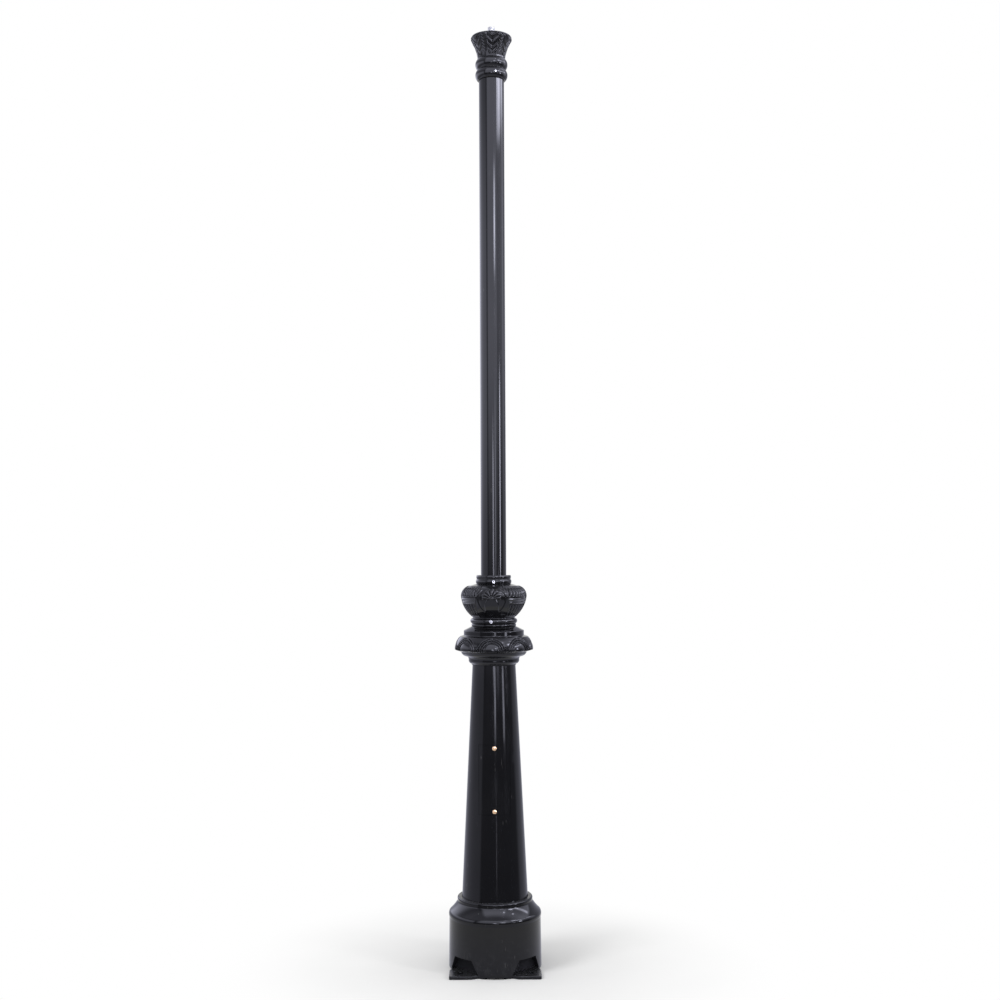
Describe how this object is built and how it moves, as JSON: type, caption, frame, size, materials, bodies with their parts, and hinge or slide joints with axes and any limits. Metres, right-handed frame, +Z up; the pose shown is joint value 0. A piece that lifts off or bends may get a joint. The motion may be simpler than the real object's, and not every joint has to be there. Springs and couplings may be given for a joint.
{
  "type": "lamp post",
  "caption": "Ornamental lamp post: footed drum base, tapered column with an access door, leafed boss and capitals, and a plain tube with a threaded stub for a lantern.",
  "frame": {"origin": "on the ground, at the middle of the four feet, on the post's axis", "axes": "+Z up along the post, -Y towards the side with the access door, +X to the right of it"},
  "size_m": [0.275, 0.275, 2.817],
  "materials": {
    "black_paint": "gloss",
    "zinc": "satin",
    "stainless": "polished",
    "brass": "satin",
    "nylon": "matte",
    "board": "matte",
    "rubber": "matte"
  },
  "bodies": {
    "post": {"base_casting": "black_paint", "column_bolts": "zinc", "column_bolt_washers": "zinc", "tapered_column": "black_paint", "backboard": "board", "backboard_screws": "zinc", "terminal_block": "nylon", "terminal_screws": "brass", "block_screws": "zinc", "earth_stud": "brass", "earth_washer": "brass", "earth_nut": "brass", "lower_capital": "black_paint", "column_boss": "black_paint", "boss_screws_lower": "stainless", "boss_screws_upper": "stainless"},
    "door": {"access_door": "black_paint", "door_gasket": "rubber"},
    "upper_screw": {"door_screw_upper": "brass", "screw_retainer_upper": "nylon"},
    "lower_screw": {"door_screw_lower": "brass", "screw_retainer_lower": "nylon"},
    "mast": {"mast_tube": "black_paint", "mast_collar": "zinc", "collar_screws": "stainless", "tube_grommet": "rubber", "top_capital": "black_paint", "capital_screws": "stainless", "lamp_nipple": "zinc", "nipple_washer": "zinc", "nipple_nut": "zinc"}
  },
  "joints": [
    {"name": "door_lift", "type": "slide", "parent": "post", "child": "door", "axis": [0, -1, 0], "range_m": [0, 0.12]},
    {"name": "upper_screw_turn", "type": "hinge", "parent": "door", "child": "upper_screw", "pos_m": [0, 0, 0.654], "axis": [0, 1, 0], "continuous": true},
    {"name": "lower_screw_turn", "type": "hinge", "parent": "door", "child": "lower_screw", "pos_m": [0, 0, 0.471], "axis": [0, 1, 0], "continuous": true},
    {"name": "mast_turn", "type": "hinge", "parent": "post", "child": "mast", "pos_m": [0, 0, 0.905], "axis": [0, 0, 1], "range_deg": [-180, 180]}
  ]
}
